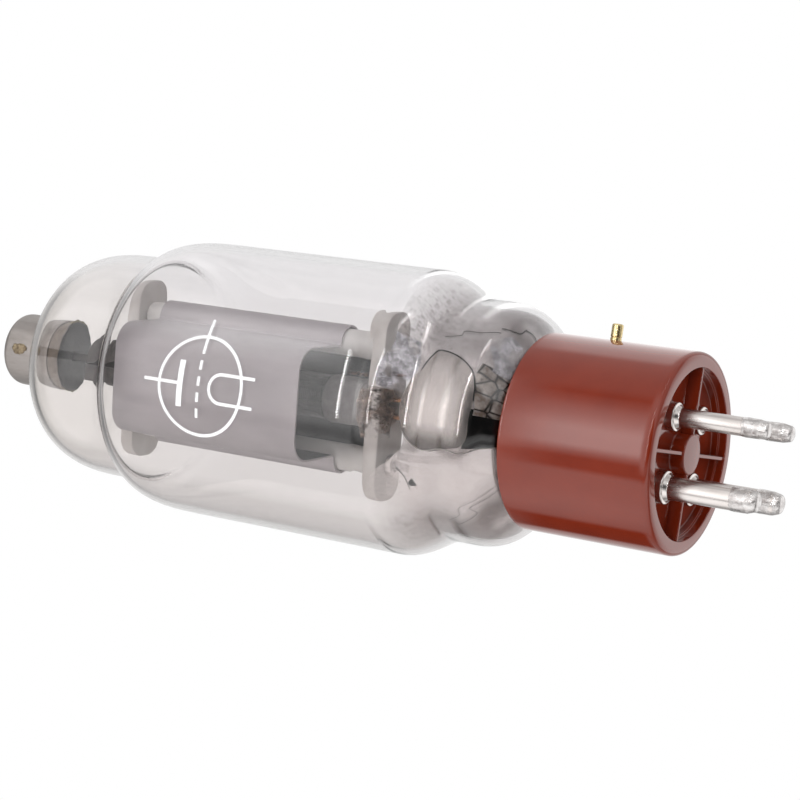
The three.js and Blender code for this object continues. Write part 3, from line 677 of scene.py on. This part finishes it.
def make_cap(looks):
    profile = filleted([
        (0, 147.2), (CAP_R, 147.2, 1.5), (CAP_R, 136.8, 0.1), (6.79, 136.8, 0.1),
        (6.79, 146.8, 1.1), (0, 146.8)], 8)
    lathe("cap_shell", profile, looks["cap"], node="top_cap", slot="cap_metal", sharp=40)

    def smeared(angle, r, z):
        """The cement spreads over the glass as a ragged oval, and is round inside the cap."""
        if r < 2 or z > 135.2:
            return r, z
        place = Vector((math.cos(angle), math.sin(angle), 0))
        oval = 1 / math.hypot(math.cos(angle), math.sin(angle) / CEMENT_OVAL)
        rough = 0.5 * noise.noise(place * 2.5) + 0.3 * noise.noise(place * 9.0)
        return (r + (rough if r > 6 else 0)) * oval, z

    cement = [(1.15, 134.7), (3.0, 134.65), (5.0, 134.55), (6.6, 134.4), (7.3, 134.35),
              (7.35, 134.8), (6.75, 136.7), (6.75, 137.2), (6.45, 138.0), (6.45, 143.0),
              (1.15, 143.0), (1.15, 134.7)]
    lathe("cap_cement_bed", cement, looks["cement"], segments=160, wobble=smeared,
          node="cap_cement", slot="dark_cement", sharp=50)

    bm = bmesh.new()
    bmesh.ops.create_icosphere(bm, subdivisions=4, radius=MM)
    for vert in bm.verts:
        swell = 1 + 0.35 * noise.noise(vert.co / MM * 1.6) + 0.15 * noise.noise(vert.co / MM * 5)
        vert.co *= swell
        vert.co.x *= 1.1
        vert.co.y *= 0.38
        vert.co.z *= 1.7
    piece("cap_solder_lump", to_mesh("cap_solder_lump", bm), looks["cap_solder"], node="cap_solder",
          slot="solder", sharp=60, matrix=at(0, -CAP_R + 0.05, 142.7))

    wire = filleted([(0, 127.5), (0.75, 127.5, 0.1), (0.75, 145.6, 0.3), (0, 145.6)])
    lathe("anode_cap_wire", wire, looks["dark_metal"], segments=32, node="anode_lead",
          slot="dark_metal")


# ---- base
BASE_R = 17.45
BASE_TOP_Z = 28.0
RECESS_R = 14.8
FLOOR_Z = 2.6
PINS = (("grid_pin", 1.59, 1, 1), ("spare_pin", 1.59, 1, -1),
        ("filament_pin_1", 1.98, -1, 1), ("filament_pin_2", 1.98, -1, -1))
PIN_X, PIN_Y = 5.94, 5.55
SKIN_TOP_Z = -10.4


def make_base(looks):
    profile = filleted([
        (0, 0), (3.5, 0, 0.25), (3.5, FLOOR_Z, 0.4), (14.2, FLOOR_Z, 0.3), (14.2, 1.4, 0.12),
        (RECESS_R, 1.4, 0.2), (RECESS_R, 0, 0.2), (BASE_R, 0, 1.2), (BASE_R, 2.6), (BASE_R, 27.2),
        (BASE_R, BASE_TOP_Z, 0.35),
        (16.85, BASE_TOP_Z, 0.15), (16.05, 26.6, 0.5), (16.05, 5.0, 0.5), (0, 5.0)], 6)
    bm = bmesh.new()
    revolve(bm, profile, 160)
    shell = to_mesh("base", bm)
    bm = bmesh.new()
    bm.from_mesh(shell)
    for quarter in range(4):
        rib = raised("rib", [bar_outline(5.75, 0.35, 0.01, 1)], 0.25, 3.0, 0.12)
        rib.transform(Matrix.Rotation(quarter * math.pi / 2, 4, "Z") @ at(9.15, 0))
        bm.from_mesh(rib)
    piece("base_moulding", to_mesh("base_moulding", bm), looks["bakelite"], node="base_shell",
          slot="bakelite", sharp=38)

    groove = BASE_R + 0.35
    stud = filleted([
        (0, 15.4), (1.0, 15.4), (1.0, groove, 0.05), (0.9, groove + 0.08, 0.05),
        (0.9, groove + 0.18, 0.05), (1.0, groove + 0.26, 0.05), (1.0, 20.3, 0.4), (0, 20.3)], 5)
    lathe("bayonet_stud", stud, looks["brass"], segments=48, node="bayonet_pin", slot="brass",
          matrix=at(0, 0, 17.1) @ Matrix.Rotation(math.pi / 2, 4, "Y"))

    for index, (name, radius, sx, sy) in enumerate(PINS):
        place = at(sx * PIN_X, sy * PIN_Y)
        collar = radius + 0.9
        body = filleted([
            (0, -13.9), (radius - 0.1, -13.9), (radius, -13.5), (radius, 0.45, 0.5),
            (radius + 0.5, 1.05, 0.3), (collar, 1.15, 0.35), (collar, 2.9), (radius, 2.9),
            (radius, 5.9), (0, 5.9)], 5)
        lathe(f"{name}_body", body, looks["nickel"], segments=64, node=name, slot="nickel",
              matrix=place)

        def wet(angle, r, z, seed=index * 7.3):
            spot = Vector((math.cos(angle) + seed, math.sin(angle), z * 0.8))
            lump = 0.09 * noise.noise(spot * 1.7) + 0.05 * noise.noise(spot * 5.0)
            fall = 0.35 * noise.noise(Vector((math.cos(angle) * 2, math.sin(angle) * 2, seed)))
            return (max(r + lump, 0.02), z + (fall if z > SKIN_TOP_Z - 0.5 else 0.0))

        skin = filleted([
            (0, -15.12), (radius * 0.8, -15.12, 0.9), (radius + 0.04, -13.4, 1.2),
            (radius + 0.07, -11.2, 0.5), (radius + 0.05, SKIN_TOP_Z - 0.15, 0.1),
            (radius - 0.25, SKIN_TOP_Z), (radius - 0.25, -13.2), (0, -13.2)], 7)
        lathe(f"{name}_tinned_end", skin, looks["tin"], segments=72, wobble=wet,
              node=f"{name}_solder", slot="solder", sharp=60, matrix=place)


# ---- electrodes
POST_X = 10.7
POST_R = 2.5
POST_BORE_R = 1.15
ANODE_SHEET = 0.4
ANODE_Z = (69.0, 110.8)
LOWER_BAR = (59.2, 62.4)
UPPER_BAR = (115.0, 118.2)
GRID_R = 4.12
GRID_Z = (72.0, 107.5)


def anode_line():
    """Centre line of one half of the anode, from one post channel round to the other."""
    half_width, half_depth, corner = 10.4, 16.5, 4.5
    channel = POST_R + 0.3 + ANODE_SHEET / 2
    x, y, bend = (size - ANODE_SHEET / 2 for size in (half_width, half_depth, corner))
    line = []
    for i in range(13):
        angle = -math.asin(0.15 / channel) - (math.pi / 2 - math.asin(0.15 / channel)) * i / 12
        line.append((POST_X + channel * math.cos(angle), channel * math.sin(angle)))
    line += [(x, -channel - 0.45), (x, bend - y)]
    for i in range(1, 15):
        angle = -math.pi / 2 * i / 14
        line.append((x - bend + bend * math.cos(angle), bend - y + bend * math.sin(angle)))
    return line + [(-px, py) for px, py in reversed(line)]


def strip_outline(line, thickness):
    """Outline of an open line thickened to both sides."""
    sides = ([], [])
    for i, point in enumerate(line):
        along = (Vector(line[min(i + 1, len(line) - 1)]) - Vector(line[max(i - 1, 0)])).normalized()
        across = Vector((-along.y, along.x)) * thickness / 2
        sides[0].append(tuple(Vector(point) + across))
        sides[1].append(tuple(Vector(point) - across))
    return sides[0] + sides[1][::-1]


def make_anode(looks):
    for name, half_turn in (("anode_front", 0.0), ("anode_back", math.pi)):
        mesh = raised(name, [strip_outline(anode_line(), ANODE_SHEET)], *ANODE_Z, 0.08)
        mesh.transform(ELECTRODE @ Matrix.Rotation(half_turn, 4, "Z"))
        shell = piece(f"{name}_shell", mesh, [looks["anode"], looks["anode_inside"]], node=name,
                      slot="anode_sheet", sharp=30)
        # Faces that look into the middle of the box take the darker copy, painted shade inside the
        # anode.
        local = (ELECTRODE @ Matrix.Rotation(half_turn, 4, "Z")).inverted()
        for face in shell.data.polygons:
            centre, normal = local @ face.center, local.to_3x3() @ face.normal
            to_middle = Vector((-centre.x, -6.0 * MM - centre.y, 0))
            if abs(normal.z) < 0.5 and normal.dot(to_middle) > 0 and abs(centre.x) < 10.3 * MM:
                face.material_index = 1

    terminal = filleted([
        (0, 127.2), (4.7, 127.2, 0.6), (4.7, 124.4, 0.1), (4.5, 124.2, 0.1), (4.7, 124.0, 0.1),
        (4.7, 119.15, 0.15), (4.0, 119.15, 0.1), (4.0, 126.5), (0, 126.5)], 5)
    lathe("anode_terminal_cup", terminal, looks["dark_metal"], segments=72, node="anode_terminal",
          slot="dark_metal", matrix=ELECTRODE)


def make_insulators(looks):
    outline = bar_outline(17.5, 4.5, 3.5)
    rods = [circle(x, 0, POST_BORE_R) for x in (-POST_X, POST_X)]
    middle, lead_hole = circle(0, 0, 3.3), circle(6.1, 0, 0.8)
    lower = raised("lower_bar", [outline, *rods, middle, lead_hole], *LOWER_BAR, 0.3)
    piece("lower_ceramic_bar_body", lower, looks["ceramic"], node="lower_ceramic_bar",
          slot="ceramic", matrix=ELECTRODE)
    upper = raised("upper_bar", [outline, *rods], *UPPER_BAR, 0.3)
    piece("upper_ceramic_bar_body", upper, looks["ceramic"], node="upper_ceramic_bar",
          slot="ceramic", matrix=ELECTRODE)

    post = filleted([(POST_BORE_R, 62.7), (POST_R, 62.7, 0.2), (POST_R, 114.7, 0.2),
                     (POST_BORE_R, 114.7), (POST_BORE_R, 62.7)], 4)
    rod = filleted([(0, 54.4), (0.8, 54.4, 0.2), (0.8, 120.5, 0.3), (0, 120.5)], 4)
    eyelet = filleted([(1.15, 57.6), (1.9, 57.6, 0.3), (2.0, 58.5, 0.1), (2.0, 58.9, 0.1),
                       (1.15, 58.9), (1.15, 57.6)], 4)
    for number, side in ((1, 1), (2, -1)):
        place = ELECTRODE @ at(side * POST_X, 0)
        lathe(f"ceramic_post_{number}_body", post, looks["post"], segments=64,
              node=f"ceramic_post_{number}", slot="ceramic", matrix=place)
        lathe(f"side_rod_{number}_body", rod, looks["wire"], segments=32, node=f"side_rod_{number}",
              slot="molybdenum", matrix=place)
        lathe(f"lower_eyelet_{number}_body", eyelet, looks["plain_nickel"], segments=48,
              node=f"lower_eyelet_{number}", slot="nickel", matrix=place)
        above = place @ at(0, 0, 118.5 + 58.9) @ Matrix.Rotation(math.pi, 4, "X")
        lathe(f"upper_eyelet_{number}_body", eyelet, looks["plain_nickel"], segments=48,
              node=f"upper_eyelet_{number}", slot="nickel", matrix=above)


def make_grid(looks):
    low, high = GRID_Z
    turns, steps = 86, 40
    path = []
    for i in range(turns * steps + 1):
        angle = 2 * math.pi * i / steps
        z = low + (high - low) * i / (turns * steps)
        path.append((GRID_R * math.cos(angle), GRID_R * math.sin(angle), z))
    piece("grid_winding_wire", strand("grid_winding_wire", [path], 0.07, 1), looks["wire"],
          node="grid_winding", slot="molybdenum", matrix=ELECTRODE)
    for name, bottom, top in (("lower_grid_collar", 62.7, 71.6),
                              ("upper_grid_collar", 107.9, 114.7)):
        profile = filleted([(4.05, bottom), (4.5, bottom, 0.1), (4.5, top, 0.2), (4.05, top, 0.1),
                            (4.05, bottom)], 4)
        lathe(f"{name}_sleeve", profile, looks["collar"], segments=72, node=name, slot="nickel",
              matrix=ELECTRODE)


# ---- printed mark
MARK_ANGLE = math.radians(-93)
MARK_Z = 84.0
STROKE = 0.6


def printed(line, width):
    """Strip of print of a width along a line of (across, up) points, wrapped on the bulb."""
    bm = bmesh.new()
    rows = []
    for i, point in enumerate(line):
        along = (Vector(line[min(i + 1, len(line) - 1)]) - Vector(line[max(i - 1, 0)])).normalized()
        across = Vector((-along.y, along.x)) * width / 2
        row = []
        for depth in (BULB_R - 0.01, BULB_R + 0.02):
            for side in (1, -1):
                s, t = Vector(point) + side * across
                angle = MARK_ANGLE + s / BULB_R
                row.append(bm.verts.new((depth * math.cos(angle) * MM, depth * math.sin(angle) * MM,
                                         (MARK_Z + t) * MM)))
        rows.append(row)
    order = (0, 1, 3, 2)
    for first, second in zip(rows, rows[1:]):
        for k in range(4):
            a, b = order[k], order[(k + 1) % 4]
            bm.faces.new((first[a], first[b], second[b], second[a]))
    for row in (rows[0], rows[-1]):
        bm.faces.new([row[k] for k in order])
    return bm


def arc(x, y, radius, start, end, steps):
    return [(x + radius * math.cos(math.radians(start + (end - start) * i / steps)),
             y + radius * math.sin(math.radians(start + (end - start) * i / steps)))
            for i in range(steps + 1)]


def straight(a, b, steps=12):
    return [(a[0] + (b[0] - a[0]) * i / steps, a[1] + (b[1] - a[1]) * i / steps)
            for i in range(steps + 1)]


def make_mark(looks):
    """The general circuit symbol of a triode: anode, dashed grid and heated filament in a ring."""
    strokes = [(arc(0, 0, 9.0, 0, 180, 60), STROKE), (arc(0, 0, 9.0, 180, 360, 60), STROKE),
               (straight((-4.2, 4.4), (4.2, 4.4)), 2 * STROKE),
               (straight((0, 4.4), (0, 12.4)), STROKE)]
    for start in (-5.8, -2.9, 0.0, 2.9):
        strokes.append((straight((start, 0.4), (start + 1.7, 0.4), 4), STROKE))
    strokes.append((straight((5.8, 0.4), (12.4, 0.4)), STROKE))
    strokes.append((arc(0, -4.6, 2.6, 0, 180, 24), STROKE))
    for side in (-1, 1):
        strokes.append((straight((side * 2.6, -4.6), (side * 2.6, -11.6)), STROKE))
    bm = bmesh.new()
    for line, width in strokes:
        part = printed(line, width)
        mesh = bpy.data.meshes.new("stroke")
        part.to_mesh(mesh)
        part.free()
        bm.from_mesh(mesh)
    piece("printed_symbol", to_mesh("printed_symbol", bm), looks["print"], sharp=40)


# ---- carried-over nodes
CARRIED = {
    "foot": ("exhaust_tube",),
    "pale_cement": ("base_cement",),
    "plain_nickel": ("grid_wire", "filament_wire_1", "filament_wire_2", "spring_anchor",
                     "getter_strap"),
    "dark_metal": ("anode_strap_front", "anode_strap_back"),
    "lead": ("filament_lead_1", "filament_lead_2", "grid_lead"),
    "wire": ("support_wire_1", "support_wire_2", "filament_hairpin_1", "filament_hairpin_2",
             "filament_yoke", "tension_spring", "grid_rod_1", "grid_rod_2", "grid_rod_3",
             "grid_rod_4"),
}


def paint_carried(looks):
    for look, names in CARRIED.items():
        for name in names:
            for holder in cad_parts[name].material_slots:
                holder.material = looks[look]


# ---- light and floor
# Brightness of the wall by direction round the tube, in degrees from +X. The camera is at -90.
STUDIO = ((-180, 1.2), (-165, 1.5), (-130, 1.5), (-124, 0.4), (-112, 0.4), (-106, 1.6), (-98, 4.2),
          (-80, 4.4), (-66, 2.6), (-56, 1.7), (-48, 0.95), (-38, 0.35), (-28, 0.7), (16, 0.9),
          (24, 1.7), (68, 1.5), (98, 1.0), (128, 0.7), (134, 0.05), (160, 0.05), (166, 0.7),
          (180, 1.2))
BRIGHTEST = 5.0                    # what full white in the colour ramp stands for
STRIP_BRIGHTNESS = 40.0
LAMP_WAVES = 165.0                 # waves of the small lamps along a radian, times two pi
PANEL_BRIGHTNESS = 1.0
FRONT_BRIGHTNESS = 1.75
SIDE_BRIGHTNESS = 1.3
WINDOW_BRIGHTNESS = 1.8


def make_world():
    world = bpy.data.worlds.new("studio")
    bpy.context.scene.world = world
    world.use_nodes = True
    tree = world.node_tree
    nodes, links = tree.nodes, tree.links
    nodes.clear()

    def math_node(operation, *values):
        made = nodes.new("ShaderNodeMath")
        made.operation = operation
        for socket, value in zip(made.inputs, values):
            if isinstance(value, (int, float)):
                socket.default_value = value
            else:
                links.new(value, socket)
        return made.outputs["Value"]

    def ranged(value, from_low, from_high, low, high):
        made = nodes.new("ShaderNodeMapRange")
        for socket, number in zip(("From Min", "From Max", "To Min", "To Max"),
                                  (from_low, from_high, low, high)):
            made.inputs[socket].default_value = number
        links.new(value, made.inputs["Value"])
        return made.outputs["Result"]

    def near(value, centre, inner, outer):
        """1 within the inner number of degrees from the centre, down to 0 at the outer."""
        away = math_node("ABSOLUTE", math_node("SUBTRACT", value, math.radians(centre)))
        return ranged(away, math.radians(inner), math.radians(outer), 1, 0)

    def mixed(first, second, factor):
        kept = math_node("MULTIPLY", first, math_node("SUBTRACT", 1.0, factor))
        return math_node("ADD", kept, math_node("MULTIPLY", second, factor))

    direction = nodes.new("ShaderNodeTexCoord").outputs["Generated"]
    parts = nodes.new("ShaderNodeSeparateXYZ")
    links.new(direction, parts.inputs["Vector"])
    angle = math_node("ARCTAN2", parts.outputs["Y"], parts.outputs["X"])
    ramp = nodes.new("ShaderNodeValToRGB")
    links.new(ranged(angle, -math.pi, math.pi, 0, 1), ramp.inputs["Fac"])
    stops = ramp.color_ramp.elements
    for stop, (degrees, level) in zip((stops[0], stops[1]), (STUDIO[0], STUDIO[-1])):
        stop.position = (degrees + 180) / 360
        stop.color = (*[level / BRIGHTEST] * 3, 1)
    for degrees, level in STUDIO[1:-1]:
        stop = stops.new((degrees + 180) / 360)
        stop.color = (*[level / BRIGHTEST] * 3, 1)
    wall = math_node("MULTIPLY", ramp.outputs["Color"], BRIGHTEST)

    height = math_node("ARCSINE", parts.outputs["Z"])

    def by_height(start, end, first, last):
        """From the first level to the last between two heights in degrees."""
        return ranged(height, math.radians(start), math.radians(end), first, last)

    # The base and the pins show the wall in a narrow band of height. Outside it the light is more
    # even, behind the tube, ahead of it and beside it.
    high = by_height(26.2, 27.6, 0, 1)
    low = by_height(20.6, 21.8, 1, 0)
    behind = math_node("MULTIPLY", near(angle, 92, 70, 78), math_node("MAXIMUM", high, low))
    even = math_node("MINIMUM", math_node("MAXIMUM", wall, 0.5), 0.88)
    pins = by_height(19.0, 21.0, 1, 0)
    ahead = math_node("MULTIPLY", near(angle, -72, 36, 50), math_node("MAXIMUM", high, pins))
    veil = ranged(angle, math.radians(-76), math.radians(-56), FRONT_BRIGHTNESS, SIDE_BRIGHTNESS)
    beside = math_node("MULTIPLY", near(angle, -150, 28, 36), high)
    wall = mixed(wall, even, behind)
    wall = mixed(wall, veil, ahead)
    wall = mixed(wall, SIDE_BRIGHTNESS, beside)

    # The light ahead fades up and down, the light behind fades below, and the zenith is dimmer.
    front = near(angle, -84, 24, 34)
    upper = by_height(36, 48, 1, 0.3)
    lower = by_height(-14, 0, 0.25, 1)
    deep = by_height(-48, -26, 0.1, 1)
    fade = math_node("MULTIPLY", math_node("MULTIPLY", upper, lower), deep)
    under = by_height(-20, -4, 0.6, 1)
    wall = math_node("MULTIPLY", wall, mixed(1.0, under, near(angle, 92, 70, 78)))
    zenith = by_height(50, 65, 1, 0.5)
    studio = math_node("MULTIPLY", wall, math_node("MULTIPLY", zenith, mixed(1.0, fade, front)))

    # A soft window puts a pale veil along the barrel.
    window = math_node("MULTIPLY", near(angle, -50, 5, 20), near(height, 34.5, 1.5, 4))
    studio = math_node("ADD", studio, math_node("MULTIPLY", window, WINDOW_BRIGHTNESS))

    # A low panel beyond the tube lights the underside of the base.
    panel = math_node("MULTIPLY", near(angle, 90, 45, 60), near(height, -34, 16, 22))
    studio = math_node("ADD", studio, math_node("MULTIPLY", panel, PANEL_BRIGHTNESS))

    # Strips of small lamps: two low ones, in front and again dimmer to the side, and a fine one
    # high up.
    dots = ranged(math_node("SINE", math_node("MULTIPLY", angle, LAMP_WAVES)), -0.1, 0.5, 0.02, 1)
    pair = math_node("MAXIMUM", near(height, -12.2, 0.3, 0.6), near(height, -13.9, 0.3, 0.6))
    side_reach = math_node("MULTIPLY", near(angle, -17, 9, 12), 0.35)
    reach = math_node("MAXIMUM", near(angle, -75, 28, 30), side_reach)
    fine = math_node("MULTIPLY", near(angle, -77, 26, 28), near(height, 31.5, 0.12, 0.18))
    strips = math_node("MAXIMUM", math_node("MULTIPLY", pair, reach), fine)
    lamp = math_node("MULTIPLY", math_node("MULTIPLY", strips, dots), STRIP_BRIGHTNESS)
    level = math_node("ADD", studio, lamp)

    # The backdrop is plain white where it is seen directly or straight through the glass.
    path = nodes.new("ShaderNodeLightPath")
    clean = math_node("LESS_THAN", math_node("ADD", path.outputs["Diffuse Depth"],
                                             path.outputs["Glossy Depth"]), 0.5)
    seen_through = math_node("MULTIPLY", path.outputs["Is Transmission Ray"], clean)
    backdrop = math_node("MAXIMUM", path.outputs["Is Camera Ray"], seen_through)
    shine = nodes.new("ShaderNodeBackground")
    shine.inputs["Color"].default_value = (1, 1, 1, 1)
    links.new(mixed(level, 1.0, backdrop), shine.inputs["Strength"])
    out = nodes.new("ShaderNodeOutputWorld")
    links.new(shine.outputs["Background"], out.inputs["Surface"])


def make_floor():
    """Pale floor under the pins. It is see-through from below and throws nothing on the tube."""
    look = mottled("pale_floor", (0.86, 0.86, 0.86), (0.90, 0.90, 0.90), 60.0, rough=(0.7, 0.8),
                   grain_mm=5.0)
    tree = look.tree
    clear = tree.nodes.new("ShaderNodeBsdfTransparent")
    side = tree.nodes.new("ShaderNodeNewGeometry")
    mix = tree.nodes.new("ShaderNodeMixShader")
    tree.links.new(side.outputs["Backfacing"], mix.inputs["Fac"])
    tree.links.new(look.shader.outputs["BSDF"], mix.inputs[1])
    tree.links.new(clear.outputs["BSDF"], mix.inputs[2])
    tree.links.new(mix.outputs["Shader"], tree.nodes["Material Output"].inputs["Surface"])
    bm = bmesh.new()
    bmesh.ops.create_grid(bm, x_segments=8, y_segments=8, size=2.0)
    mesh = bpy.data.meshes.new("floor")
    bm.to_mesh(mesh)
    bm.free()
    mesh.materials.append(look.material)
    floor = bpy.data.objects.new("floor", mesh)
    floor.location.z = cad_low.z - 0.0002
    bpy.context.collection.objects.link(floor)
    for ray in ("diffuse", "glossy", "transmission", "shadow"):
        setattr(floor, f"visible_{ray}", False)


make_camera()
materials = make_materials()
make_glass(materials)
make_getter(materials)
make_cap(materials)
make_base(materials)
make_anode(materials)
make_insulators(materials)
make_grid(materials)
make_mark(materials)
paint_carried(materials)
make_world()
make_floor()
bpy.context.scene.view_settings.view_transform = "Standard"
